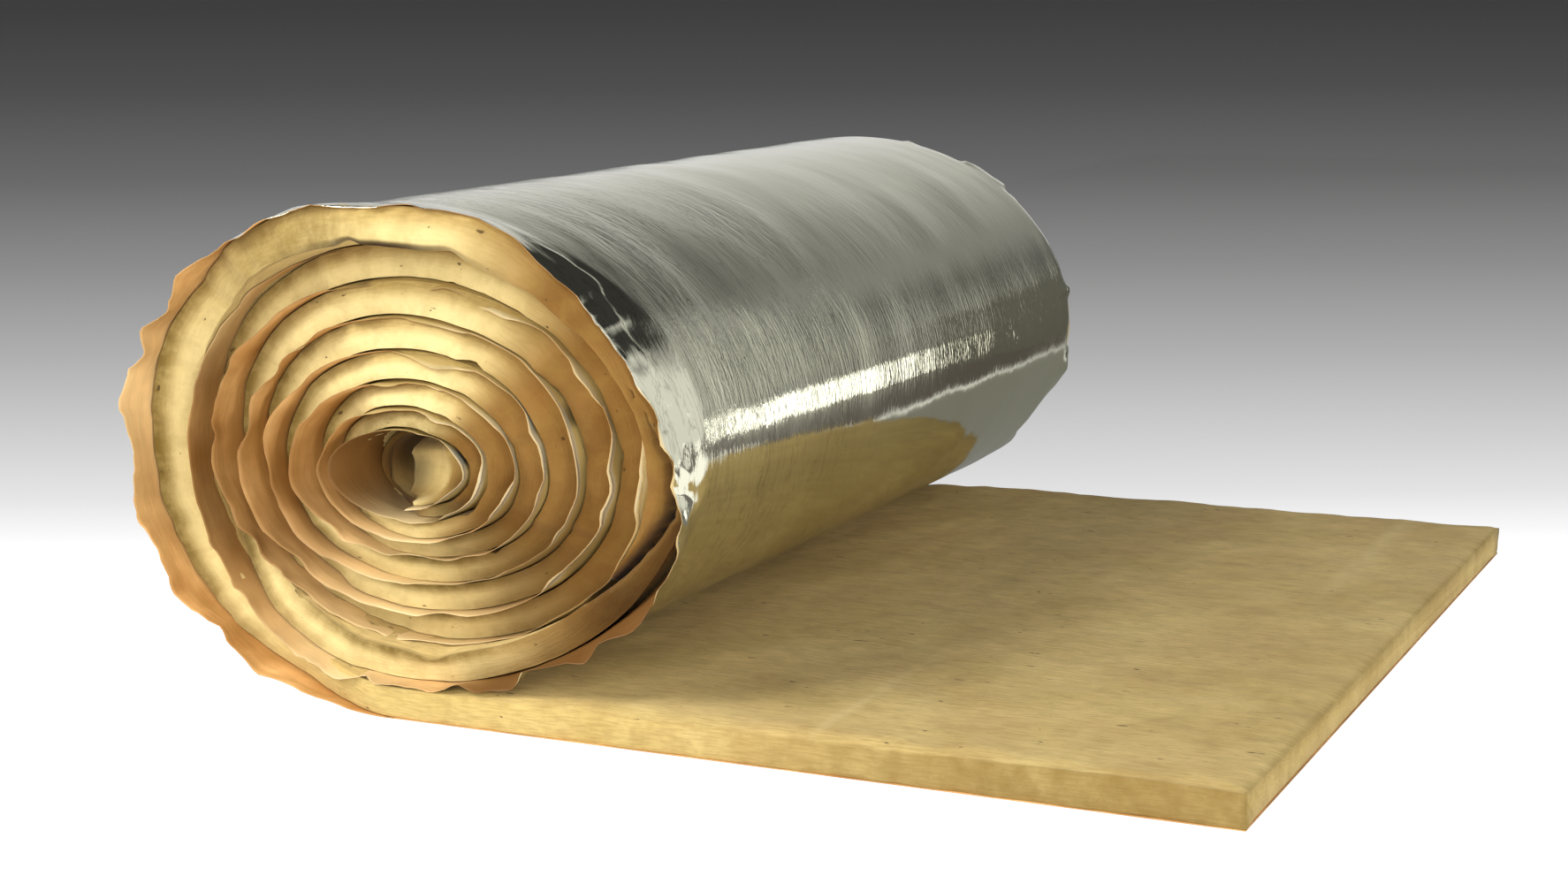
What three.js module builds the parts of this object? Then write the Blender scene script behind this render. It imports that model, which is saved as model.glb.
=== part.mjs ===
// A mineral-wool mat with a paper-backed aluminium foil facing, wound into a loose roll and
// partly unrolled. The roll lies on its side with its axis along Y. The end of the mat runs out
// flat along +X, with the foil against the ground and the wool on top. From there the mat
// goes up the left side of the roll, over the top, down the right side and in under itself,
// and winds on to the open core. The wool is pressed thinner towards the core.
import * as THREE from "three";

// Driving dimensions, in millimetres and turns.
const matWidth = 1200; // of the foil facing, between its two cut edges
const outerMargin = 38; // how far the facing stands out over the wool of the outer turn
const innerMargin = 26; // the same at the inner end
const flatMargin = 3; // and along the flat part
const marginTrim = 0.8; // part of the margin that is missing where it is narrowest
const marginTurn = 0.06; // where the margin is widest in each turn, just past the ground line
const tailLength = 867; // flat part, from where the roll touches the ground to the cut end
const freeThickness = 36; // wool with nothing pressing on it
const woundThickness = 34.2; // wool in the outermost turn, under the pressure of the winding
const coreSqueeze = 0.73; // part of its wound thickness that the wool loses at the inner end
const squeezePower = 2; // how much the squeeze gathers in the innermost turns
const foilThickness = 0.6; // foil with its paper backing and adhesive
const bondGap = 0.3; // clearance between the foil and the wool on either side of it
const boreRadius = 25.5; // from the axis to the wool at the inner end of the mat
const turns = 8; // from the ground line to the inner end of the mat
const sideBulge = 1.24; // how much wider than high the soft roll sags
const coreBulge = 0.14; // what the turns near the core add to that
const coreSag = 22; // how far the core hangs below the middle of the roll
const coreOffset = 7; // how far the core lies towards the flat part
const swellRun = 250; // length over which the tail recovers its free thickness
const innerRecess = 63; // how far the second turn sits back from the near edge of the first
const coreRecess = 22; // how far the inner end sits back
const innerLean = 9; // how much further the second turn sits back on the right than midway
const coreLean = 14; // what the inner end adds to that
const recessRun = 0.25; // part of a turn over which the mat steps back
const lipHeight = 12; // how far the near edge of the wool stands out at its foil side
const edgeWave = 5; // height of the waves that the cut edges take in the roll
const wavesPerTurn = 8.6; // not whole, so that the waves of one turn miss those of the next
const stationsPerTurn = 60;
const tailStations = 14;

const fullTurn = 2 * Math.PI;
const layerExtra = foilThickness + 2 * bondGap; // what a turn takes besides its wool
const woolDepth = foilThickness + bondGap; // the foil side of the wool, below the outer face
const outerRadius = boreRadius + woolDepth + woundWool(turns) + windingDepth(turns);

// Eases from 0 to 1 as t goes from 0 to 1, and stays there.
function ease(t) { return THREE.MathUtils.smoothstep(t, 0, 1); }

// Depth of the mat's outer face below that of the roll, which all the turns up to there take.
function windingDepth(turn) {
  const order = squeezePower + 1;
  const lostTurns = (coreSqueeze * turns * ((turn - 0.5) / turns) ** order) / order;
  return turn * layerExtra + (turn - lostTurns) * woundThickness;
}

// Thickness of the wool after some turns from the ground line. It fills the turn.
function woundWool(turn) {
  return windingDepth(turn + 1) - windingDepth(turn) - layerExtra;
}

// A point of the winding, by angle wound since the ground line and depth below the outer face.
function woundPoint(angle, depth) {
  const radius = outerRadius - windingDepth(angle / fullTurn) - depth;
  const inward = 1 - radius / outerRadius;
  const bulge = sideBulge + coreBulge * inward;
  const x = coreOffset * inward - bulge * radius * Math.sin(angle);
  const z = outerRadius - coreSag * inward - radius * Math.cos(angle);
  return [x, z];
}

// A point of the flat tail, by its distance from the ground line and its depth as wound. The
// wool starts from its pressed thickness below the roll.
function tailPoint(distance, depth) {
  if (depth <= woolDepth) return [distance, depth];
  const [, pressed] = woundPoint(0, woolDepth + woundWool(0));
  const free = woolDepth + freeThickness;
  return [distance, THREE.MathUtils.lerp(pressed, free, ease(distance / swellRun))];
}

// How far both edges of the mat are moved along +Y where it is wound.
function edgeShift(angle) {
  const turn = angle / fullTurn;
  const step = ease((turn - 1) / recessRun);
  const inward = Math.max(0, (turn - 1) / (turns - 1));
  const recess = THREE.MathUtils.lerp(innerRecess, coreRecess, inward);
  const lean = innerLean + coreLean * inward;
  const wave = edgeWave * ease(turn) * Math.sin(wavesPerTurn * angle);
  return step * (recess - lean * Math.sin(angle)) + wave;
}

// How far the facing stands out over both edges of the wool. It is broad low down on the roll
// and narrow over the top.
function facingMargin(angle) {
  const around = (1 - Math.cos(angle - marginTurn * fullTurn)) / 2;
  const full = THREE.MathUtils.lerp(outerMargin, innerMargin, angle / (turns * fullTurn));
  const kept = full * (1 - marginTrim * around);
  return THREE.MathUtils.lerp(flatMargin, kept, ease(angle / (recessRun * fullTurn)));
}

// The cross-sections of the mat, from the inner end at the core to the cut end of the tail.
const stations = [];
const woundStations = Math.round(turns * stationsPerTurn);
for (let i = woundStations; i > 0; i--) {
  const turn = (turns * i) / woundStations;
  const angle = turn * fullTurn;
  stations.push({
    wool: woundWool(turn),
    shift: edgeShift(angle),
    margin: facingMargin(angle),
    lip: lipHeight * ease((turn - 1) / recessRun),
    at: (depth) => woundPoint(angle, depth),
  });
}
for (let i = 0; i <= tailStations; i++) {
  const distance = tailLength * (i / tailStations) ** 1.5;
  const at = (depth) => tailPoint(distance, depth);
  stations.push({ wool: woundWool(0), shift: 0, margin: flatMargin, lip: 0, at });
}

// One layer of the mat: a flat strip, bent to follow the stations. The share of the wool that
// lies below each face of the layer places it, and the near edge slopes back with that share.
// A trimmed layer leaves the facing's margin free.
function layer(name, faces, trimmed, color, roughness, metalness) {
  const geometry = new THREE.BoxGeometry(1, matWidth, 1, stations.length - 1, 1, 1);
  const position = geometry.getAttribute("position");
  for (let i = 0; i < position.count; i++) {
    const along = Math.round((position.getX(i) + 0.5) * (stations.length - 1));
    const { wool, shift, margin, lip, at } = stations[along];
    const { depth, share } = position.getZ(i) > 0 ? faces.wool : faces.foil;
    const [x, z] = at(depth + share * wool);
    const near = position.getY(i) < 0;
    const inset = (trimmed ? margin : 0) * (near ? 1 : -1);
    const slope = near ? lip * share : 0;
    position.setXYZ(i, x, position.getY(i) + shift + inset + slope, z);
  }
  geometry.computeVertexNormals();
  const material = new THREE.MeshStandardMaterial({ color, roughness, metalness });
  const mesh = new THREE.Mesh(geometry, material);
  mesh.name = name;
  return mesh;
}

const outerFace = { depth: 0, share: 0 };
const bondedFace = { depth: foilThickness, share: 0 };
const foilSide = { depth: woolDepth, share: 0 };
const woolSide = { depth: woolDepth, share: 1 };

const roll = new THREE.Group();
roll.add(layer("foil_facing", { foil: outerFace, wool: bondedFace }, false, 0xc9cac6, 0.25, 1));
roll.add(layer("wool_mat", { foil: foilSide, wool: woolSide }, true, 0xc2a35c, 0.95, 0));

// The origin is on the ground, below the middle of the whole object.
const bounds = new THREE.Box3().setFromObject(roll);
const middle = bounds.getCenter(new THREE.Vector3());
roll.position.set(-middle.x, -middle.y, -bounds.min.z);

export default roll;
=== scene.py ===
"""A roll of mineral-wool mat with an aluminium foil facing, partly unrolled, lying on its side."""

import bmesh
import bpy
import numpy as np
from mathutils import Matrix, Vector


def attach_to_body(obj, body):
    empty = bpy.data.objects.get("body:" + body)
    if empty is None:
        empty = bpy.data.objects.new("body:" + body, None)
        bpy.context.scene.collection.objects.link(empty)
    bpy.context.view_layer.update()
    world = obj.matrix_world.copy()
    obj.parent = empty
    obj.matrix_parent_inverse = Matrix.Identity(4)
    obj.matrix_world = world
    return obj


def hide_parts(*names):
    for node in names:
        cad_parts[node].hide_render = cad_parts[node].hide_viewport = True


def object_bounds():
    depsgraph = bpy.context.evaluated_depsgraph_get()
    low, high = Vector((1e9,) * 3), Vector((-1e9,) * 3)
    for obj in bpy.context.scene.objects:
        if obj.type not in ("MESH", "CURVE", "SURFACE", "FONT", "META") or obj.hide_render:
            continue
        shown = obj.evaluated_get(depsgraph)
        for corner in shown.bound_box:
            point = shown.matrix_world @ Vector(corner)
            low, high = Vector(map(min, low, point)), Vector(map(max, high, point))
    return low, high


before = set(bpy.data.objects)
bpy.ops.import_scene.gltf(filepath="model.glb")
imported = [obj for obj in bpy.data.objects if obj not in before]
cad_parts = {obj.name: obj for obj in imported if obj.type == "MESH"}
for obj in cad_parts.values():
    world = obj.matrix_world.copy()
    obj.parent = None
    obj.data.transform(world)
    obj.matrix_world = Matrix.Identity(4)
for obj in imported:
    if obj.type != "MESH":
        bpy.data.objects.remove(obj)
cad_low, cad_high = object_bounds()

# ---------------------------------------------------------------------------------------------
# Wool mat. Mineral fibres, laid in streaks along the mat and bound with resin to a springy
# felt. It is a little narrower than its facing, and wound up with it, so that each turn shows
# its rounded cut edge inside a free margin of the facing. Lengths are in metres.
# ---------------------------------------------------------------------------------------------
mat_width = 1.200        # of the facing
tail_length = 0.867      # of the flat part, from where the roll touches the ground
free_wool = 0.036        # thickness of the wool with nothing pressing on it
wound_wool = 0.0342      # in the outer turn
core_squeeze = 0.73      # part of that which the wool loses towards the inner end
bond = 0.0009            # the foil and the bond, between the mat's outer face and the wool
layer_extra = 0.0012     # what a turn takes besides its wool
bore_radius = 0.0255
turns = 8
side_bulge = 1.24        # how much wider than high the soft roll sags
core_bulge = 0.14        # what the turns near the core add to that
core_sag = 0.022         # how far the core hangs below the middle of the roll
core_offset = 0.007      # how far the core lies towards the flat part
swell_run = 0.250        # length over which the flat part recovers its free thickness
inner_recess = 0.063     # how far the second turn sits back from the near edge of the first
core_recess = 0.022      # how far the inner end sits back
inner_lean = 0.009       # how much further the second turn sits back on the right
core_lean = 0.014        # what the inner end adds to that
recess_run = 0.25        # part of a turn over which the mat steps back
outer_margin = 0.040     # how far the facing stands out over the wool's cut edges
inner_margin = 0.028     # the same at the inner end
flat_margin = 0.003      # and in the flat part
margin_trim = 0.8        # part of the margin that is missing where it is narrowest
margin_turn = 0.06       # where the margin is widest in each turn
cut_belly = 0.015        # how far the wool's cut edge swells out towards the axis
edge_reach = 0.15        # how far in from a cut edge the mat is pushed out of its place
# The near rim of the outer turn, which is dented and bent. Each row gives the turns since the
# ground line, how far the rim sits back there, how far it is bent in towards the axis, how far
# back the bend begins, and how far the facing stands out over the wool.
near_rim = np.array([
    (0.000, 0.000, 0.000, 0.050, 0.040),
    (0.360, 0.000, 0.000, 0.060, 0.036),
    (0.405, 0.000, -0.010, 0.100, 0.014),
    (0.445, 0.000, -0.013, 0.100, 0.006),
    (0.490, 0.000, -0.002, 0.060, 0.002),
    (0.555, 0.012, -0.010, 0.065, 0.002),
    (0.610, 0.028, 0.009, 0.075, 0.002),
    (0.660, 0.038, 0.018, 0.100, 0.003),
    (0.720, 0.052, 0.020, 0.108, 0.004),
    (0.770, 0.058, 0.008, 0.108, 0.010),
    (0.800, 0.038, -0.020, 0.100, 0.030),
    (0.830, 0.020, -0.026, 0.090, 0.040),
    (0.870, 0.015, -0.012, 0.070, 0.040),
    (0.910, 0.008, -0.005, 0.060, 0.040),
    (0.960, 0.000, 0.000, 0.050, 0.040)])
rim_turns, rim_back, rim_bend, bend_reach, rim_margin = near_rim.T
# A crack in the outer turn's wool, on the right. Each row gives the turns, where the crack runs
# there, from the facing (0) to the free side (1), and how far it gapes.
crack = np.array([
    (0.690, 0.50, 0.000), (0.715, 0.40, 0.050), (0.740, 0.27, 0.075), (0.762, 0.15, 0.100),
    (0.777, 0.36, 0.120), (0.790, 0.46, 0.120), (0.810, 0.66, 0.110), (0.830, 0.80, 0.100),
    (0.850, 0.97, 0.080), (0.870, 1.00, 0.000)])
crack_turns, crack_share, crack_gape = crack.T
crack_depth = 0.045
ground_line = cad_high.x - tail_length
near_edge = cad_low.y + 0.00485      # the cut edge without its waves


def ease(t):
    """Rises from 0 to 1 as t does, and levels out at both ends."""
    t = np.clip(t, 0, 1)
    return t * t * (3 - 2 * t)


def hump(value, middle, spread):
    """1 at the middle, falling off to both sides."""
    return np.exp(-(((value - middle) / spread) ** 2))


def humps(value, *rows):
    """Several humps added up. Each row gives a middle, a spread and a height."""
    return sum(height * hump(value, middle, spread) for middle, spread, height in rows)


def at_bottom(turn, after, before):
    """1 at the bottom of every turn, falling off over parts of a turn after and before it."""
    around = np.mod(turn, 1)
    return hump(around, 0, after) + hump(around, 1, before)


def strongest(*fields):
    """The largest of several fields, point by point."""
    return np.max(fields, axis=0)


def scattered(*cells):
    """An even spread of numbers from -1 to 1, one for each cell of a grid."""
    mixed = sum(np.asarray(c, float) * k for c, k in zip(cells, (127.1, 311.7, 74.7, 19.3)))
    return 2 * np.mod(np.sin(mixed) * 43758.5453, 1) - 1


def kinked(along, seed):
    """A line of straight stretches with sharp corners, about one a unit, between -1 and 1."""
    cell = np.floor(along)
    spot = along - cell
    knee = 0.5 + 0.3 * scattered(cell, seed + 0.5)
    start, mid, end = (scattered(2 * cell + i, seed) for i in range(3))
    rise = start + (mid - start) * spot / knee
    fall = mid + (end - mid) * (spot - knee) / (1 - knee)
    return np.where(spot < knee, rise, fall)


def rippled(along, over, seed):
    """A field of smooth swells, about one a unit both ways, between -1 and 1."""
    a, b = np.floor(along), np.floor(over)
    s, t = ease(along - a), ease(over - b)
    low = scattered(a, b, seed) * (1 - s) + scattered(a + 1, b, seed) * s
    high = scattered(a, b + 1, seed) * (1 - s) + scattered(a + 1, b + 1, seed) * s
    return low * (1 - t) + high * t


def winding_depth(turn):
    """Depth of the mat's outer face below that of the roll."""
    # Each turn's wool loses the share core_squeeze * (turn / turns) ** 2, and this adds it up.
    lost = core_squeeze * turns * ((turn - 0.5) / turns) ** 3 / 3
    return turn * layer_extra + (turn - lost) * wound_wool


outer_radius = bore_radius + bond + winding_depth(turns + 1) - layer_extra


def wool_thickness(turn, distance):
    """In the roll it fills the turn, and in the flat part it swells to its free thickness."""
    wound = winding_depth(turn + 1) - winding_depth(turn) - layer_extra
    pressed = wound - core_sag * (bond + wound) / outer_radius
    tail = pressed + (free_wool - pressed) * ease(distance / swell_run)
    return np.where(distance > 0, tail, wound)


def lay(turn, distance, along_y, depth, inward):
    """Where a point of the mat lies. Inward moves it towards the roll's axis, or up in the tail."""
    angle = 2 * np.pi * turn
    radius = outer_radius - winding_depth(turn) - depth
    share = 1 - radius / outer_radius
    bulge = side_bulge + core_bulge * share
    x = ground_line + core_offset * share - bulge * (radius - inward) * np.sin(angle)
    z = outer_radius - core_sag * share - (radius - inward) * np.cos(angle)
    flat = distance > 0
    x = np.where(flat, ground_line + distance, x)
    z = np.where(flat, depth + inward, z)
    return np.stack([x, near_edge + along_y, z], axis=-1)


def edge_shift(turn):
    """How far both edges of the mat sit back where it is wound."""
    step = ease((turn - 1) / recess_run)
    share = np.clip((turn - 1) / (turns - 1), 0, 1)
    recess = inner_recess + (core_recess - inner_recess) * share
    lean = inner_lean + core_lean * share
    return step * (recess - lean * np.sin(2 * np.pi * turn))


def in_roll(turn, distance, rise):
    """0 in the flat part, rising to 1 over the first part of a turn."""
    return np.where(distance > 0, 0, ease(turn / rise))


def outermost(turn):
    """1 on the outer turn and in the tail, and 0 on the turns inside it."""
    return ease((0.985 - turn) / 0.06)


def free_margin(turn, distance, length):
    """How far the facing stands out over both edges of the wool."""
    around = (1 - np.cos(2 * np.pi * (turn - margin_turn))) / 2
    kept = outer_margin + (inner_margin - outer_margin) * turn / turns
    kept = kept + 0.012 * hump(np.mod(turn, 1), 0.25, 0.16)
    kept = kept * (1 - margin_trim * around) * (1 + 0.5 * rippled(length / 0.19, 0, 9))
    kept = kept + (np.interp(turn, rim_turns, rim_margin) - kept) * outermost(turn)
    # The last turn's facing stands far out of the bore, but not over the bulging inner end.
    innermost = np.interp(turn, [7.02, 7.12, 7.54, 7.66, 8], [0.040, 0.075, 0.075, 0.014, 0.018])
    kept = np.where(turn > 7.02, innermost, kept)
    return flat_margin + (kept - flat_margin) * in_roll(turn, distance, 0.08)


def bent(turn, along_y):
    """How far the outer turn's near end is bent in towards the axis."""
    back = np.interp(turn, rim_turns, rim_back)
    reach = np.interp(turn, rim_turns, bend_reach)
    bend = np.interp(turn, rim_turns, rim_bend)
    lip = 0.010 * hump(turn, 0.415, 0.035) * np.clip(1 - along_y / 0.025, 0, 1)
    return bend * np.clip((reach - along_y) / (reach - back), 0, 1.15) ** 1.15 + lip


def crack_line(turn):
    """Where the crack runs, from the wool's facing side (0) to its free side (1)."""
    return np.interp(turn, crack_turns, crack_share)


def cracked(turn, share):
    """1 in the crack of the outer turn's wool, and 0 elsewhere."""
    gape = np.interp(turn, crack_turns, crack_gape)
    return (gape > 0) * hump(share, crack_line(turn), np.maximum(gape, 0.01))


def worn_away(distance, length, across, share):
    """How much the tail has lost of its height. Its upper edges are worn round."""
    brink = np.minimum(np.minimum(across, mat_width - across), tail_length - distance)
    worn = 0.0045 + 0.0025 * rippled(length / 0.09, across / 0.09, 27)
    worn = worn * np.clip(1 - brink / 0.022, 0, 1) ** 2 * share ** 3
    return worn * (distance > 0) * ease(distance / 0.1)


def wool_point(turn, distance, length, across, share, tuck):
    """Points of the wool. Length runs along the mat and share from its facing to its free side."""
    wound = in_roll(turn, distance, 0.125)
    outer = outermost(turn)
    margin = free_margin(turn, distance, length)
    at_near = np.clip(1 - across / edge_reach, 0, 1)
    at_far = np.clip(1 - (mat_width - across) / edge_reach, 0, 1)
    # The cut edge swells out, least beside the facing and most on the side of the axis. At the
    # bottom of each turn it is flat, and on the left it slopes back towards the axis.
    left = wound * hump(np.mod(turn, 1), 0.25, 0.13)
    low = wound * at_bottom(turn, 0.13, 0.13)
    swell = (0.2 + 0.8 * wound) * cut_belly * (1 - (1 - np.clip(share / 0.85, 0, 1)) ** 2)
    swell = swell * (0.75 + 0.25 * outer) * (1 - 1.1 * low) * (1 - left)
    slope = wound * (0.002 + 0.002 * outer) * (1 - low) + left * share * (0.008 + 0.020 * outer)
    waves = 0.003 * kinked(length / 0.06, 17) + 0.002 * kinked(length / 0.03, 18)
    waves = waves * (0.4 + 0.6 * wound) + 0.004 * wound * rippled(length / 0.11, share, 19)
    set_back = margin + slope - swell + waves
    # The near edge is dented and cracked as well, and there is a step in it at the inner end.
    back = np.interp(turn, rim_turns, rim_back) + crack_depth * cracked(turn, share)
    step = 0.012 * ease((turn - 7.5) / 0.08) * ease((share - 0.46) / 0.1)
    shift = edge_shift(turn) + (set_back + back + step) * at_near - set_back * at_far
    along_y = across + shift
    # It follows the outer turn where that is bent in, but not where that flares out.
    inward = bent(turn, along_y)
    inward = np.where(turn > 0.785, np.maximum(inward, 0), inward) * (1 - share)
    # Small gaps open here and there between it and the next turn in.
    gap = 0.013 * np.clip(kinked(length / 0.12, 23) - 0.55, 0, 1) * (1 - outer) + humps(
        turn, (0.482, 0.008, 0.006), (0.545, 0.012, 0.008), (0.60, 0.01, 0.004),
        (0.985, 0.012, 0.008))
    inward = inward - wound * (gap + 0.002) * np.clip(1 - across / 0.05, 0, 1) * share ** 3
    depth = bond + tuck + share * wool_thickness(turn, distance)
    place = lay(turn, distance, along_y, depth, inward)
    place[..., 2] -= worn_away(distance, length, across, share)
    # The inner end of the mat bulges into the bore, from the right.
    radius = outer_radius - winding_depth(turn) - depth
    over = 0.020 - side_bulge * radius * np.sin(2 * np.pi * turn)
    end = ease((turn - 7.48) / 0.12) * (0.3 + 0.7 * ease((8.02 - turn) / 0.1)) * (distance <= 0)
    pinched = 0.011 * ease((turn - 7.0) / 0.12) * ease((7.48 - turn) / 0.1)
    place[..., 0] -= (end * over * share ** 2 + pinched * share) * at_near
    return place


def wound_stations(spacing):
    """Turns since the ground line, and lengths along the mat, one every spacing metres."""
    fine = np.linspace(0, turns, 20001)
    path = lay(fine, 0 * fine, 0 * fine, 0 * fine, 0 * fine)
    length = np.concatenate([[0], np.cumsum(np.linalg.norm(np.diff(path, axis=0), axis=1))])
    marks = np.linspace(0, length[-1], int(length[-1] / spacing) + 1)
    return np.interp(marks, length, fine), marks


def grid_of(shape, stations, rows, closed):
    """Fills a bmesh with a grid of stations by rows, and says which each vertex belongs to."""
    around = rows if closed else rows - 1
    bmesh.ops.create_grid(shape, x_segments=stations - 1, y_segments=around, size=0.5)
    spot = np.array([v.co for v in shape.verts]) + 0.5
    station = spot[:, 0] * (stations - 1)
    row = np.rint(spot[:, 1] * around).astype(int) % rows
    return station, row


def attach(mesh, name, values):
    """Gives every vertex of a mesh a number, or three, that its material reads."""
    kind = "FLOAT" if values.ndim == 1 else "FLOAT_VECTOR"
    field = "value" if values.ndim == 1 else "vector"
    mesh.attributes.new(name, kind, "POINT").data.foreach_set(field, values.ravel())


def placed(name, mesh, node):
    """Puts a finished mesh in the scene as a piece that stands for a solid of the frame."""
    piece = bpy.data.objects.new(name, mesh)
    bpy.context.scene.collection.objects.link(piece)
    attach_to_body(piece, "root")
    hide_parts(node)
    return piece


# Stations along the mat, from the cut end of the tail to the inner end at the core.
turn_marks, length_marks = wound_stations(0.0070)
tail_marks = np.linspace(tail_length, 0, 110)[:-1]
station_turn = np.concatenate([0 * tail_marks, turn_marks])
station_distance = np.concatenate([tail_marks, 0 * turn_marks])
station_length = np.concatenate([-tail_marks, length_marks])

# Rows around its section: the near cut edge, the free side, the far cut edge and the facing side.
# They lie closer together at the corners.
cut_shares = (1 - np.cos(np.linspace(0, np.pi, 15))) / 2
near_rows = [0.002, 0.004, 0.007, 0.011, 0.016, 0.024, 0.034, 0.046, 0.06, 0.08, 0.11, 0.16, 0.25]
free_rows = np.concatenate([near_rows, np.linspace(0.35, 1.12, 9), [1.16, 1.18, 1.19, 1.196]])
facing_rows = [1.16, 0.9, 0.3, 0.08, 0.05, 0.03, 0.015, 0.005]
far_shares = cut_shares[::-2]
across_rows = np.concatenate([0 * cut_shares, free_rows, mat_width + 0 * far_shares, facing_rows])
share_rows = np.concatenate([cut_shares, 1 + 0 * free_rows, far_shares, 0 * np.array(facing_rows)])

# The mesh is made as a flat block, by station, width and share, and then laid in its place. The
# tail's broad top is divided more finely across its width.
mesh = bpy.data.meshes.new("wool")
shape = bmesh.new()
station, row = grid_of(shape, len(station_turn), len(across_rows), closed=True)
for vert, s, r in zip(shape.verts, station, row):
    vert.co = (s, across_rows[r], share_rows[r])
bmesh.ops.remove_doubles(shape, verts=shape.verts, dist=1e-5)
bmesh.ops.holes_fill(shape, edges=[e for e in shape.edges if e.is_boundary], sides=0)
wide = [e for e in shape.edges if max(v.co.x for v in e.verts) < len(tail_marks) - 8
        and min(v.co.z for v in e.verts) > 0.99 and abs(e.verts[0].co.y - e.verts[1].co.y) > 0.05]
bmesh.ops.subdivide_edges(shape, edges=wide, cuts=5, use_grid_fill=True)
bmesh.ops.recalc_face_normals(shape, faces=shape.faces)
shape.to_mesh(mesh)
shape.free()

spot = np.empty(len(mesh.vertices) * 3)
mesh.vertices.foreach_get("co", spot)
station, across, share = spot.reshape(-1, 3).T
stations = np.arange(len(station_turn))
turn = np.interp(station, stations, station_turn)
distance = np.interp(station, stations, station_distance)
length = np.interp(station, stations, station_length)
# The outer face is tucked in a little where the foil covers it.
tucked = np.where(share == 0, 0.003 * ease(across / 0.02) * ease((mat_width - across) / 0.02), 0)
place = wool_point(turn, distance, length, across, share, tucked)
mesh.vertices.foreach_set("co", place.ravel())
mesh.update()
# Fibrous relief stands on it where no foil covers it. Inside the roll there is less of it on the
# free side, which is pressed smooth.
normal = np.empty(len(mesh.vertices) * 3)
mesh.vertices.foreach_get("normal", normal)
streak = rippled(length / 0.022, across / 0.011 + share * 4, 41)
lump = rippled(length / 0.03, across / 0.03 + share * 2, 42)
relief = np.where(share > 0, 0.0004 * streak + 0.0007 * lump, 0) * (0.5 + ease(across / 0.01))
relief = relief * np.where((distance > 0) | (share < 0.97), 1, 0.35)
place = place + normal.reshape(-1, 3) * relief[:, None]
mesh.vertices.foreach_set("co", place.ravel())
mesh.update()
mesh.shade_smooth()

# Where the wool's colour changes, with painted light and shade. Most of it is on the near cut edge
# of the roll.
near_cut = np.clip(1 - across / 0.010, 0, 1)
cut_edge = near_cut * in_roll(turn, distance, 1 / 6)
around = np.mod(turn, 1)
right_side = ease((around - 0.55 + 0.03 * (turn < 1)) / 0.10) * ease((1.01 - around) / 0.16)
foot = at_bottom(turn, 0.12, 0.10)
# The last turn's free side lines the mouth of the bore, and the mat's inner end bulges into it.
bulb = hump(turn, 7.78, 0.16)
mouth = np.clip(1.3 - across / 0.12, 0, 1) * np.clip((turn - 7) * 4, 0, 1) * (share > 0.9)
# Painted shade, dark brown: the roll's right side, the last turn, the mouth of the bore, and the
# bulging end where it lies beside the facing.
browned = strongest(
    np.maximum(cut_edge * right_side, mouth) * (1 - bulb),
    near_cut * ease((turn - 6.95) / 0.1) * ease((7.56 - turn) / 0.06),
    0.8 * near_cut * bulb * (share < 0.42))
# Painted light, pale: each turn's free side, but at the bottom its facing side, and the bulging
# end.
bright_side = ease((share - 0.10) / 0.5) * (1 - foot) + ease((0.95 - share) / 0.6) * foot
bright_side = bright_side * (1 - right_side * (1 - 0.5 * foot)) * (1 - 0.9 * hump(turn, 0.42, 0.08))
bulging_end = bulb * ease((share - 0.42) / 0.08) * np.clip(1 - across / 0.1, 0, 1)
paled = strongest(cut_edge * bright_side, 0.5 * bulging_end)
# Painted shade, dim olive: the crease beside the facing, at the bottom the one beside the next turn
# in, three places on the outer turn, the last turns, and the wool beside the crack.
crease = (1 - ease((share - 0.05) / 0.55)) * (1 - 0.5 * right_side)
crease = crease * (1 - 0.6 * hump(around, 0.5, 0.12)) * (1 - hump(around, 0, 0.1))
crease = crease * (1 - hump(around, 1, 0.05))
last_turns = ease((turn - 5.9) / 0.4) * (turn < 7.4) * (0.45 + 0.3 * hump(turn, 6.5, 0.15))
rift = hump(share, crack_line(turn), 0.28)
rift = rift * ease((turn - 0.74) / 0.03) * ease((0.88 - turn) / 0.03)
dimmed = strongest(
    cut_edge * crease,
    cut_edge * foot * ease((share - 0.45) / 0.5) * (turn > 0.9),
    near_cut * 0.5 * hump(turn, 0.86, 0.07),
    near_cut * humps(turn, (0.42, 0.05, 0.7), (0.465, 0.03, 0.4)),
    near_cut * last_turns,
    near_cut * 0.9 * rift)
# In shade: the crack and the wool between it and the facing, the gap over the top, the last turn,
# the bore, and the free side of the bulging end.
behind_crack = (share < crack_line(turn)) * ease((turn - 0.76) / 0.02) * ease((0.90 - turn) / 0.05)
shaded = strongest(
    near_cut * ease((cracked(turn, share) - 0.25) / 0.5),
    near_cut * 0.45 * behind_crack,
    near_cut * ease((share - 0.80) / 0.12) * hump(turn, 0.505, 0.055),
    near_cut * 0.45 * ease((turn - 7.0) / 0.1) * ease((7.52 - turn) / 0.06),
    0.6 * mouth * (1 - bulb) * ease(across / 0.05),
    0.7 * bulb * ease((share - 0.62) / 0.34))
# Painted shade: the tail's near side, more so towards its cut end, and the cut end itself are
# painted darker than its top.
near_side = np.clip(1 - across / 0.004, 0, 1) * ease((distance - 0.10) / 0.60) * (distance > 0)
cut_end = 0.3 * ease((distance - tail_length + 0.002) / 0.002)
attach(mesh, "mat_place", np.stack([length, across, share * 0.03], axis=-1))
attach(mesh, "cut", cut_edge)
attach(mesh, "browned", browned)
attach(mesh, "paled", paled)
attach(mesh, "dimmed", dimmed)
attach(mesh, "shaded", shaded)
attach(mesh, "side", np.maximum(near_side, cut_end))


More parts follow.
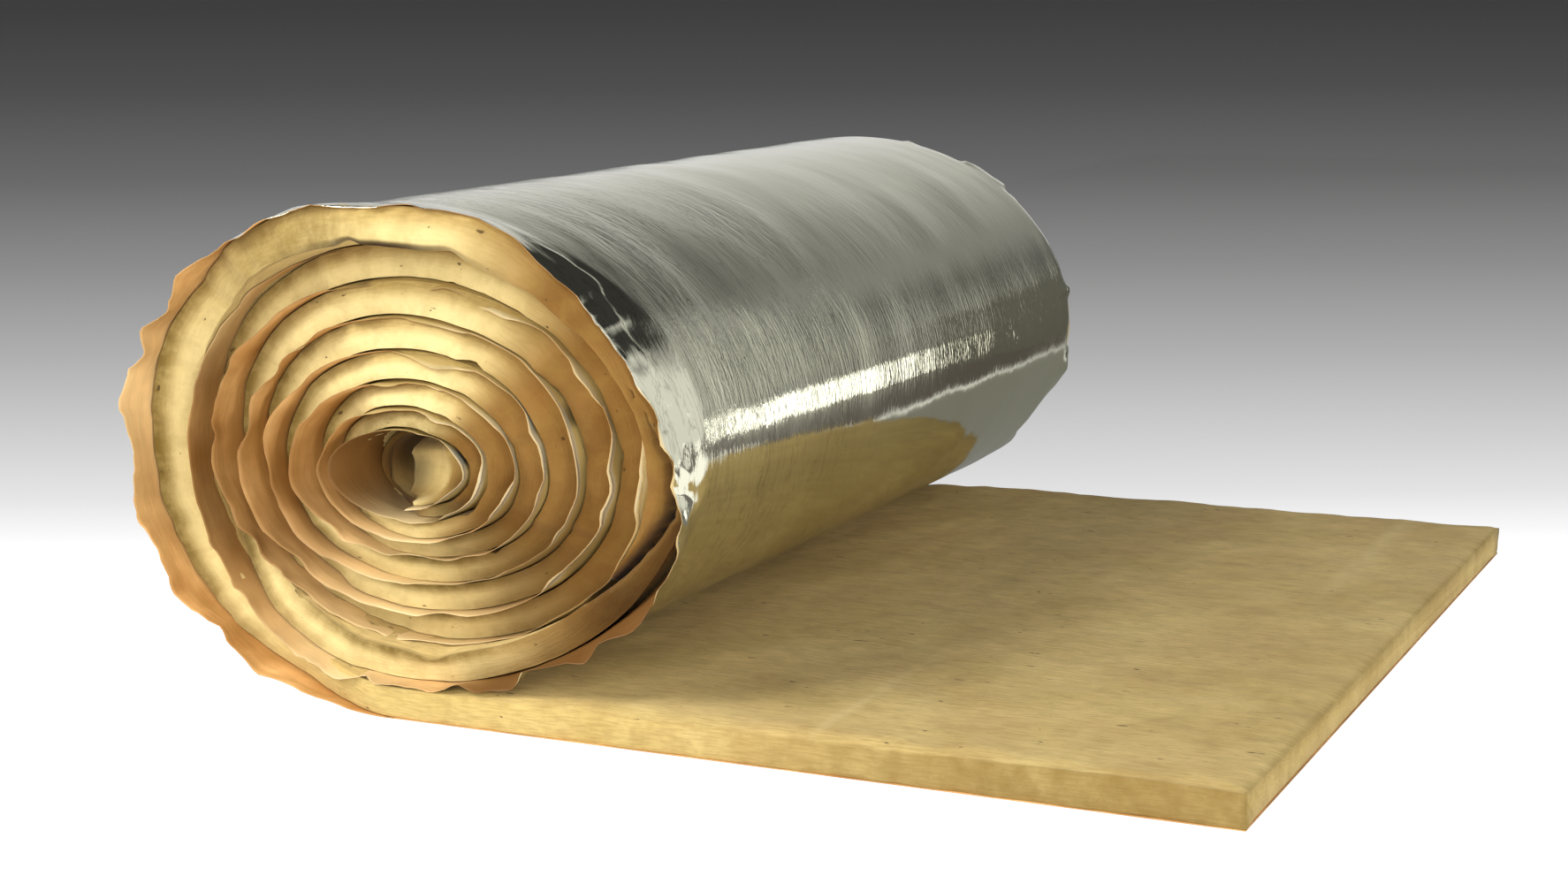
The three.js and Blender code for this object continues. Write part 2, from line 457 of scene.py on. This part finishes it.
class Wire:
    """An output of a shader node. Sums and products of wires add the nodes that they need."""

    def __init__(self, tree, output=None):
        self.tree = tree
        self.output = output

    def node(self, kind, settings=None, sockets=None, output=0):
        """Adds a node. Its settings come first, then the values or wires of its sockets."""
        made = self.tree.nodes.new("ShaderNode" + kind)
        for name, value in (settings or {}).items():
            if name == "stops":
                while len(made.color_ramp.elements) < len(value):
                    made.color_ramp.elements.new(0.5)
                for stop, (position, grey) in zip(made.color_ramp.elements, value):
                    stop.position = position
                    stop.color = (grey, grey, grey, 1)
            else:
                setattr(made, name, value)
        for name, value in (sockets or {}).items():
            if isinstance(value, Wire):
                self.tree.links.new(value.output, made.inputs[name])
            else:
                made.inputs[name].default_value = value
        return Wire(self.tree, made.outputs[output])

    def math(self, operation, first, second):
        return self.node("Math", {"operation": operation}, {0: first, 1: second})

    def __add__(self, other):
        return self.math("ADD", self, other)

    def __sub__(self, other):
        return self.math("SUBTRACT", self, other)

    def __rsub__(self, other):
        return self.math("SUBTRACT", other, self)

    def __mul__(self, other):
        return self.math("MULTIPLY", self, other)

    __radd__ = __add__
    __rmul__ = __mul__

    def ramp(self, low, high):
        """0 at low and 1 at high."""
        return self.node("MapRange", {}, {"Value": self, "From Min": low, "From Max": high})

    def mix(self, first, second):
        """A colour between the first and the second, by this wire."""
        return self.node("Mix", {"data_type": "RGBA"}, {0: self, 6: first, 7: second}, output=2)

    def read(self, name, output="Fac"):
        """A number or three that the mesh carries."""
        return self.node("Attribute", {"attribute_name": name}, output=output)

    def part(self, axis):
        """One of the three numbers of a place."""
        return self.node("SeparateXYZ", {}, {0: self}, output=axis)

    def stretched(self, scale):
        return self.node("VectorMath", {"operation": "MULTIPLY"}, {0: self, 1: scale})

    def noise(self, scale, detail, roughness, distortion=0.0):
        """Clouds of about this many to the metre, or to the stretched unit."""
        return self.node("TexNoise", {}, {"Vector": self, "Scale": scale, "Detail": detail,
                                          "Roughness": roughness, "Distortion": distortion})

    def bump(self, strength, distance):
        """The surface's direction, with this wire as its height."""
        return self.node("Bump", {}, {"Height": self, "Strength": strength, "Distance": distance})


def blank_finish(name, constants=None):
    """A new material, its shader with constants in its sockets, and a first wire to build from."""
    material = bpy.data.materials.new(name)
    material.use_nodes = True
    shader = material.node_tree.nodes["Principled BSDF"]
    for socket, value in (constants or {}).items():
        shader.inputs[socket].default_value = value
    return material, shader, Wire(material.node_tree)


def drive(wire, shader, socket):
    wire.tree.links.new(wire.output, shader.inputs[socket])


straw = (0.72, 0.54, 0.21, 1)
dull_straw = (0.56, 0.40, 0.135, 1)
highlight_straw = (0.74, 0.59, 0.27, 1)
tan = (0.50, 0.32, 0.12, 1)
streak_brown = (0.37, 0.24, 0.055, 1)
side_shade_brown = (0.21, 0.137, 0.04, 1)
fibre_brown = (0.22, 0.13, 0.028, 1)
mottle_brown = (0.30, 0.19, 0.045, 1)
shade_olive = (0.14, 0.088, 0.017, 1)
shade_brown_light = (0.260, 0.135, 0.034, 1)
shade_brown_dark = (0.160, 0.072, 0.013, 1)
burnt_speck = (0.06, 0.03, 0.01, 1)
deep_shade = (0.03, 0.014, 0.004, 1)

wool_finish, shader, start = blank_finish("wool", {
    "Roughness": 0.95, "Specular IOR Level": 0.1, "Sheen Weight": 0.06, "Sheen Roughness": 0.6})
mat_place = start.read("mat_place", "Vector")
along, over = mat_place.part("X"), mat_place.part("Y")
cloud = mat_place.noise(7, 4, 0.55)
blotch = mat_place.stretched((1, 1.2, 1)).noise(6, 3, 0.5)
mottle = mat_place.noise(42, 5, 0.65)
# Streaks, fibres and specks are drawn out along the mat.
streaks = mat_place.stretched((14, 160, 160)).noise(1, 4, 0.6)
fibres = mat_place.stretched((45, 420, 420)).noise(1, 3, 0.6)
specks = mat_place.stretched((45, 120, 120)).noise(1, 2, 0.5)
# Painted highlight: two faint folds run across the tail, each over a part of its width, drawn
# as pale lines where the light catches them.
near_fold_highlight = along.ramp(-0.465, -0.458) * along.ramp(-0.446, -0.454)
near_fold_highlight = near_fold_highlight * over.ramp(0.40, 0.05) * over.ramp(0, 0.03)
far_fold_highlight = along.ramp(-0.780, -0.758) * along.ramp(-0.740, -0.752) * over.ramp(0.65, 0.85)
colour = cloud.ramp(0.35, 0.65).mix(dull_straw, straw)
colour = (blotch.ramp(0.45, 0.65) * 0.35).mix(colour, tan)
colour = (streaks.ramp(0.35, 0.7) * 0.16).mix(colour, streak_brown)
# Painted shade on the tail's near side and cut end.
colour = (start.read("side") * (mottle.ramp(0.3, 0.65) * 0.3 + 0.6)).mix(colour, side_shade_brown)
colour = (fibres.ramp(0.42, 0.62) * 0.28).mix(colour, fibre_brown)
# Painted light: pale straw where the cut edge faces the light, and along the two folds.
colour = (start.read("paled") * 0.85 + near_fold_highlight * 0.35 + far_fold_highlight * 0.3).mix(colour, highlight_straw)
# Painted shade: dim olive in the creases and hollows of the cut edge.
colour = (start.read("dimmed") * (mottle.ramp(0.35, 0.6) * 0.4 + 0.6)).mix(colour, shade_olive)
# Painted shade: dark brown where the cut edge lies in shade, on the right and in the bore.
colour = start.read("browned").mix(colour, cloud.ramp(0.3, 0.7).mix(shade_brown_dark, shade_brown_light))
colour = (mottle.ramp(0.45, 0.75) * 0.35).mix(colour, mottle_brown)
speckled = (specks + start.read("cut") * 0.035).ramp(0.735, 0.76)
colour = (speckled * 0.8).mix(colour, burnt_speck)
colour = start.read("shaded").mix(colour, deep_shade)
drive(colour, shader, "Base Color")
drive((fibres + streaks * 0.5).bump(0.6, 0.0012), shader, "Normal")

mesh.materials.append(wool_finish)
wool = placed("wool", mesh, "wool_mat")

# ---------------------------------------------------------------------------------------------
# Foil facing. Aluminium foil on brown kraft paper, glued to the outer face of the mat over its
# whole length. The winding leaves it finely wrinkled around the roll. It is wider than the wool,
# and its free margins show the paper inside and the foil outside.
# ---------------------------------------------------------------------------------------------
facing_gauge = 0.0004
clear_of_bond = 0.0006   # how far the facing's middle stands out from the mat's outer face
ground_clearance = 0.0003


def facing_point(turn, distance, length, across, proud):
    """Points of the facing, with its free margins."""
    wound = in_roll(turn, distance, 0.125)
    inner = ease((turn - 1) / recess_run)
    margin = free_margin(turn, distance, length)
    far = mat_width - across
    around = np.mod(turn, 1)
    free = np.clip(1 - across / (margin + 0.012), 0, 1)
    flap = np.clip(1 - across / np.maximum(margin - 0.014, 0.003), 0, 1)
    far_free = np.clip(1 - far / (margin + 0.012), 0, 1)
    # The margins are creased and ragged along their cut edges. On the outer turn they have sharp
    # cusps. Inside it they swell towards the axis, droop in over the top, and can lean out only
    # beyond the wool of the turn outside them.
    steady = 1 - 0.8 * hump(turn, 0.60, 0.17)
    cusps = 0.009 * kinked(length / 0.055, 11) + 0.002 * kinked(length / 0.023, 12) - 0.001
    swells = 0.006 * rippled(length / 0.085, 0, 11) + 0.003 * kinked(length / 0.045, 12)
    swells = swells + 0.0035 * rippled(length / 0.024, across / 0.018, 13)
    swells = np.maximum(swells, -0.0012) - 0.006 * hump(around, 0.25, 0.13)
    swells = np.where(turn < 2, np.maximum(0.5 * swells, 0), swells)
    droop = 0.003 * hump(around, 0.5, 0.10)
    droop = droop + humps(turn, (1.76, 0.05, 0.012), (2.57, 0.03, 0.010), (3.73, 0.05, 0.006))
    swells = (np.maximum(swells, 0) + droop) * free ** 1.4 + np.minimum(swells, 0) * flap
    curl = (cusps * free ** 1.4 * (1 - inner) * steady + swells * inner) * wound
    ragged = wound * (0.005 * kinked(length / 0.042, 14) + 0.005 * kinked(length / 0.10, 15))
    far_curl = 0.006 * rippled(length / 0.07, 0, 24) + 0.005 * kinked(length / 0.04, 25) + 0.004
    back = np.interp(turn, rim_turns, rim_back) * np.clip(1 - across / edge_reach, 0, 1)
    along_y = across + edge_shift(turn) + back + ragged * free * steady - ragged * far_free
    inward = bent(turn, along_y) + curl + wound * far_curl * far_free ** 1.4
    return lay(turn, distance, along_y, -proud, inward)


def facing_relief(turn, distance, length, across):
    """How far the facing's creases and folds stand out from the roll."""
    slant = length + 0.35 * across
    creases = 0.0002 * rippled(slant / 0.06, across / 0.013, 31)
    creases = creases + 0.0006 * rippled(slant / 0.16, across / 0.06, 32)
    # Beside the edge the foil is crumpled where it is bent in, and a fold and a pleat run along it.
    crumple = rippled(length / 0.020, across / 0.014, 33) + 0.6 * kinked(length / 0.016, 34)
    crumple = crumple * humps(turn, (0.635, 0.05, 1), (0.73, 0.05, 0.8))
    crumple = crumple * ease((0.055 - across) / 0.02) * (distance <= 0)
    fold = hump(across, 0.034 + 0.009 * kinked(length / 0.07, 35), 0.0045)
    fold = fold * ease((turn - 0.575) / 0.02) * ease((0.70 - turn) / 0.03)
    pleat = hump(across, 0.052 + 0.012 * rippled(length / 0.05, 0, 36), 0.003)
    pleat = pleat * hump(turn, 0.73, 0.04)
    return creases + 0.0018 * crumple + 0.0022 * fold - 0.0016 * pleat


def colour_facing(mesh, turn, distance, length, across):
    """Marks where the paper is painted in shade or lit, and where the foil lies in shade or is
    bare.
    """
    attach(mesh, "mat_place", np.stack([length, across, 0 * across], axis=-1))
    around = np.mod(turn, 1)
    # Painted shade on the paper: low on the right, in the last turns, low on the left, and along
    # the cut edge.
    low_right = ease((around - 0.68) / 0.08) * ease((0.97 + 0.02 * (turn < 1) - around) / 0.05)
    low_right = low_right * (distance <= 0) * np.where(turn < 1, 1, 0.65)
    low_left = 0.5 * hump(turn, 1.18, 0.06)
    low_left = low_left + 0.3 * hump(around, 0.27, 0.10) * ease((turn - 1.05) / 0.1)
    low_left = low_left + 0.5 * hump(around, 0.15, 0.07) * ease((turn - 1.6) / 0.2)
    cut_line = 0.5 * ease((0.003 - across) / 0.003) * (turn > 1)
    attach(mesh, "stained", strongest(
        low_right, 0.95 * ease((turn - 6.6) / 0.4), np.minimum(low_left, 0.7), cut_line))
    # Lit: the flaps that lie open at the bottom of each turn, and two patches on the left.
    lit = 0.75 * ease((turn - 0.95) / 0.1) * at_bottom(turn, 0.1, 0.07)
    attach(mesh, "lit", lit + humps(turn, (0.27, 0.07, 0.4), (1.34, 0.05, 0.45)))
    # Between the turns the foil lies in shade, and over the top right up to its cut edge.
    top = hump(around, 0.46, 0.15)
    hidden = ease((turn - 1.1) / 0.1) * ease((across - 0.0035 + 0.008 * top) / 0.004)
    attach(mesh, "shaded", hidden)
    # The paper is a little wider than the foil, so that the edge shows it on both sides.
    shown = np.interp(turn, [0.68, 0.70, 0.78, 0.81, 0.90, 0.96, 1.15],
                      [0, 0.004, 0.006, 0.006, 0.002, 0.001, 0.005])
    shown = shown * (1 - np.where(turn > 1.1, 1, 0) * top)
    attach(mesh, "bare", ease((shown - across) / 0.002) * (distance <= 0) * (turn > 0.69))


def facing_piece(name, stations, rows):
    """A stretch of the facing, as a sheet of stations by rows that Solidify gives its gauge. The
    stations are given as their turns, their distances along the tail and their lengths."""
    mesh = bpy.data.meshes.new(name)
    shape = bmesh.new()
    station, row = grid_of(shape, len(stations[0]), len(rows), closed=False)
    turn, distance, length = (marks[np.rint(station).astype(int)] for marks in stations)
    across = rows[row]
    proud = clear_of_bond + facing_relief(turn, distance, length, across)
    place = facing_point(turn, distance, length, across, proud)
    place[:, 2] = np.maximum(place[:, 2], ground_clearance + 0.0002 * (distance > 0))
    for vert, spot in zip(shape.verts, place):
        vert.co = spot
    # The foil is on the outside, so the faces are turned to point away from the wool.
    bmesh.ops.recalc_face_normals(shape, faces=shape.faces)
    outside = facing_point(turn[:1], distance[:1], length[:1], across[:1], 0.05)[0] - place[0]
    if shape.faces[0].normal.dot(Vector(outside)) < 0:
        bmesh.ops.reverse_faces(shape, faces=shape.faces)
    shape.to_mesh(mesh)
    shape.free()
    mesh.shade_smooth()
    colour_facing(mesh, turn, distance, length, across)
    mesh.materials.append(foil_finish)
    mesh.materials.append(kraft_finish)
    facing = placed(name, mesh, "foil_facing")
    gauge = facing.modifiers.new("gauge", "SOLIDIFY")
    gauge.thickness = facing_gauge
    gauge.offset = 0
    gauge.material_offset = 1
    gauge.material_offset_rim = 1


silver = (0.88, 0.87, 0.70, 1)
dull_silver = (0.82, 0.81, 0.62, 1)
fold_shade_grey = (0.36, 0.35, 0.28, 1)
bare_paper = (0.66, 0.48, 0.20, 1)
paper_in_shade = (0.42, 0.30, 0.10, 1)
slit_shade_black = (0.03, 0.02, 0.01, 1)

foil_finish, shader, start = blank_finish("foil")
mat_place = start.read("mat_place", "Vector")
along, over = mat_place.part("X"), mat_place.part("Y")
fine = mat_place.stretched((24, 300, 1)).noise(1, 3, 0.6)
broad = mat_place.stretched((5, 11, 1)).noise(1, 4, 0.6)
frayed = mat_place.stretched((50, 240, 1)).noise(1, 2, 0.5)
mist = mat_place.noise(3, 3, 0.5).ramp(0.3, 0.7)
folds = start.math("ABSOLUTE", mat_place.stretched((11, 48, 1)).noise(1, 5, 0.62, 0.8) - 0.5, 0)
# The half beside the near edge is crumpled most. Above the side of the roll the folds are
# deeper, and along the side the wrinkles fray the light.
near_half = over.ramp(0.65, 0.25)
crumpled = mat_place.noise(4, 2, 0.5).ramp(0.42, 0.60) * (near_half * 0.85 + 0.15)
upper = along.ramp(1.34, 1.24)
roll_side = along.ramp(1.16, 1.27) * along.ramp(1.36, 1.32)
bare, hidden = start.read("bare"), start.read("shaded")
covered = start.math("MAXIMUM", bare, hidden)
slits = mat_place.stretched((1, 0, 0)).noise(9, 2, 0.5).ramp(0.60, 0.66)
colour = mist.mix(dull_silver, silver)
# Painted shade: the foil is greyer along its folds in the half beside the near edge.
colour = (folds.ramp(0.025, 0) * near_half * 0.5).mix(colour, fold_shade_grey)
colour = bare.mix(colour, bare_paper)
# Painted shade between the turns: paper brown in shade, and black in the slits.
drive(hidden.mix(colour, slits.mix(paper_in_shade, slit_shade_black)), shader, "Base Color")
drive(0.985 - covered * 0.96, shader, "Metallic")
drive(mist * 0.03 + covered * 0.6 + 0.06, shader, "Roughness")
height = (crumpled * 0.16 + 0.05 + roll_side * 0.12) * fine + broad * 0.6
height = height + roll_side * frayed * 0.55
height = height - (crumpled * 0.9 + 0.12) * folds * (upper * 2.6 + 0.4)
drive(height.bump(0.35, 0.002), shader, "Normal")

light_kraft = (0.83, 0.48, 0.18, 1)
dark_kraft = (0.42, 0.185, 0.045, 1)
pulp_brown = (0.42, 0.20, 0.06, 1)
crease_brown = (0.36, 0.19, 0.045, 1)
shade_paper_brown = (0.155, 0.068, 0.015, 1)
lit_kraft = (0.84, 0.66, 0.34, 1)

kraft_finish, shader, start = blank_finish("kraft_paper", {
    "Roughness": 0.5, "Specular IOR Level": 0.25})
mat_place = start.read("mat_place", "Vector")
cloud = mat_place.noise(11, 3, 0.5)
creased = mat_place.stretched((9, 70, 1)).noise(1, 4, 0.6)
pulp = mat_place.stretched((60, 200, 1)).noise(1, 4, 0.6)
colour = cloud.ramp(0.36, 0.64).mix(dark_kraft, light_kraft)
colour = (pulp.ramp(0.35, 0.7) * 0.25).mix(colour, pulp_brown)
colour = (creased.ramp(0.42, 0.68) * 0.55).mix(colour, crease_brown)
# Painted shade: the paper is darker where it lies in shade.
colour = start.read("stained").mix(colour, shade_paper_brown)
drive(start.read("lit").mix(colour, lit_kraft), shader, "Base Color")
drive((pulp * 0.4 + cloud * 2 + creased * 2).bump(0.4, 0.0012), shader, "Normal")

# The outer turn is seen all over and meshed finely. The rest needs it only at the margins.
margin_rows = np.concatenate([np.linspace(0, 0.06, 18), np.linspace(0.067, 0.16, 12)])
outer_rows = np.concatenate([margin_rows, np.linspace(0.17, 1.14, 70), np.linspace(1.15, 1.2, 9)])
sparse_rows = np.concatenate([
    np.linspace(0, 0.06, 14), [0.075, 0.10, 0.3, 0.6, 0.9, 1.12, 1.14], np.linspace(1.15, 1.2, 7)])
fine_turns, fine_lengths = wound_stations(0.0062)
outer = fine_turns <= 1.48
facing_piece("foil_outer_turn", (fine_turns[outer], 0 * fine_turns[outer], fine_lengths[outer]),
             outer_rows)
for name, kept in [("foil_inner_turns", station_turn >= 1.475),
                   ("foil_tail", (station_distance > 0) | (station_turn < 0.02))]:
    facing_piece(name, (station_turn[kept], station_distance[kept], station_length[kept]),
                 sparse_rows)

# ---------------------------------------------------------------------------------------------
# Studio. A white floor that darkens with distance, three softboxes, and what the foil mirrors: a
# surround that is pale low down and dark overhead, and cards that stand in it.
# ---------------------------------------------------------------------------------------------
camera = bpy.data.cameras.new("camera")
camera.lens = 60.197
camera.sensor_width = 36
camera_object = bpy.data.objects.new("camera", camera)
yaw, pitch, tilt = -0.4378621, 0.1758273, 0.0066936
forward = Vector((np.sin(yaw) * np.cos(pitch), np.cos(yaw) * np.cos(pitch), -np.sin(pitch)))
right = Vector((np.cos(yaw), -np.sin(yaw), 0))
down = forward.cross(right)
across_view = np.cos(tilt) * right + np.sin(tilt) * down
up_view = np.sin(tilt) * right - np.cos(tilt) * down
turned = Matrix((across_view, up_view, -forward)).transposed().to_4x4()
camera_place = Vector((ground_line + 1.4247, near_edge - 2.1207, 0.7260))
camera_object.matrix_world = Matrix.Translation(camera_place) @ turned
bpy.context.scene.collection.objects.link(camera_object)
bpy.context.scene.camera = camera_object


def staged(name, shape, finish):
    """Puts a bmesh in the scene as a thing of the studio, which is no piece of the roll."""
    mesh = bpy.data.meshes.new(name)
    shape.to_mesh(mesh)
    shape.free()
    mesh.materials.append(finish)
    thing = bpy.data.objects.new(name, mesh)
    bpy.context.scene.collection.objects.link(thing)
    return thing


# The floor glows most in front of the roll and less and less behind it. The glow is fixed to the
# floor, and is worked out from how far each point lies from the camera's place, on the level.
floor_finish, shader, start = blank_finish("floor", {
    "Roughness": 0.8, "Specular IOR Level": 0.05, "Base Color": (0.04, 0.04, 0.04, 1),
    "Emission Strength": 1})
level_view = Vector((np.sin(yaw), np.cos(yaw), 0))
floor_depth = start.node("VectorMath", {"operation": "DOT_PRODUCT"}, {
    0: start.node("TexCoord", output="Object"), 1: level_view}, output="Value")
camera_depth = level_view.dot(camera_place)
nearness = start.math("DIVIDE", 1, start.math("MAXIMUM", floor_depth - camera_depth, 1))
glow = start.node("ValToRGB", {"stops": [
    (0.0, 0.018), (0.052, 0.026), (0.170, 0.055), (0.309, 0.122), (0.450, 0.245), (0.591, 0.405),
    (0.734, 0.61), (0.821, 0.75), (0.885, 0.93), (0.93, 1.1)]},
    {0: nearness.ramp(0, 0.3333)})
drive(glow, shader, "Emission Color")
shape = bmesh.new()
bmesh.ops.create_circle(shape, cap_ends=True, segments=128, radius=400)
staged("floor", shape, floor_finish)

# The surround's brightness, from the horizon (0) to overhead (1).
world = bpy.data.worlds.new("world")
world.use_nodes = True
start = Wire(world.node_tree)
direction = start.node("TexCoord", output="Generated")
upward, sideways = direction.part("Z"), direction.part("X")
on_left = start.node("ValToRGB", {"stops": [
    (0.0, 0.60), (0.09, 0.72), (0.24, 0.60), (0.32, 0.50), (0.39, 0.42), (0.46, 0.25), (0.55, 0.08),
    (0.66, 0.02)]}, {0: upward})
behind = start.node("ValToRGB", {"stops": [
    (0.0, 0.13), (0.08, 0.09), (0.14, 0.08), (0.24, 0.13), (0.31, 0.24), (0.37, 0.23), (0.46, 0.14),
    (0.60, 0.02)]}, {0: upward})
on_right = start.node("ValToRGB", {"stops": [
    (0.0, 0.15), (0.08, 0.30), (0.14, 0.36), (0.24, 0.41), (0.31, 0.33), (0.37, 0.28), (0.46, 0.16),
    (0.60, 0.02)]}, {0: upward})
surround = sideways.ramp(0.31, 0.44).mix(behind, on_right)
surround = sideways.ramp(-0.15, 0.15).mix(on_left, surround)
far_right = sideways.ramp(0.40, 0.60) * (1 - upward.ramp(0.35, 0.60))
surround = far_right.mix(surround, (0.75, 0.75, 0.75, 1))
world.node_tree.links.new(surround.output, world.node_tree.nodes["Background"].inputs["Color"])
bpy.context.scene.world = world
bpy.context.scene.view_settings.view_transform = "Standard"


def softbox(name, at, towards, size, watts):
    """A square area light that the camera doesn't see."""
    light = bpy.data.lights.new(name, "AREA")
    light.energy = watts
    light.size = size
    lamp = bpy.data.objects.new(name, light)
    facing = (Vector(towards) - Vector(at)).to_track_quat("-Z", "Y").to_matrix().to_4x4()
    lamp.matrix_world = Matrix.Translation(at) @ facing
    lamp.visible_camera = False
    bpy.context.scene.collection.objects.link(lamp)
    return lamp


softbox("left_key", (-2.1, -2.1, 2.5), (0, -0.1, 0.1), 2.0, 130)
softbox("right_fill", (3.4, -1.6, 1.0), (0, -0.3, 0.2), 1.3, 48).visible_glossy = False
softbox("front_fill", (0.4, -3.3, 1.2), (-0.3, -0.6, 0.25), 1.6, 56).visible_glossy = False

# Glowing cards that only the foil sees, each by its colour and four corners. Dim ones lie just
# over the floor, beyond the far edge of the tail and the far end of the roll. A bright wedge
# stands beyond the tail's far corner, and its reflection is the long highlight. A dark card
# stands to its left and a pale one above it.
cards = {
    "tail_card": ((0.065, 0.055, 0.050, 1), [
        (0.27, 0.572, 0.03), (5.8, 0.572, 0.03), (0.27, 7.7, 0.03), (5.8, 7.7, 0.03)]),
    "back_card": ((0.17, 0.17, 0.15, 1), [
        (-2.1, 0.572, 0.003), (0.27, 0.572, 0.003), (-2.1, 7.7, 0.003), (0.27, 7.7, 0.003)]),
    "wedge": ((2.6, 2.6, 2.5, 1), [
        (0.79, 1.6, 0.06), (1.25, 1.6, -0.13), (0.80, 1.6, 0.29), (1.25, 1.6, 0.29)]),
    "dark_card": ((0.080, 0.078, 0.064, 1), [
        (0.30, 1.61, 0.02), (0.69, 1.61, 0.04), (0.30, 1.61, 0.54), (0.74, 1.61, 0.50)]),
    "pale_card": ((0.48, 0.48, 0.46, 1), [
        (0.98, 1.61, 0.42), (1.5, 1.61, 0.42), (0.52, 1.61, 1.62), (1.5, 1.61, 1.62)])}
for name, (colour, corners) in cards.items():
    card_finish, shader, start = blank_finish(name, {
        "Base Color": (0, 0, 0, 1), "Emission Color": colour, "Emission Strength": 1})
    shape = bmesh.new()
    bmesh.ops.create_grid(shape, x_segments=1, y_segments=1, size=0.5)
    for vert, corner in zip(shape.verts, corners):
        vert.co = corner
    card = staged(name, shape, card_finish)
    card.visible_camera = False
    card.visible_diffuse = False
    card.visible_shadow = False
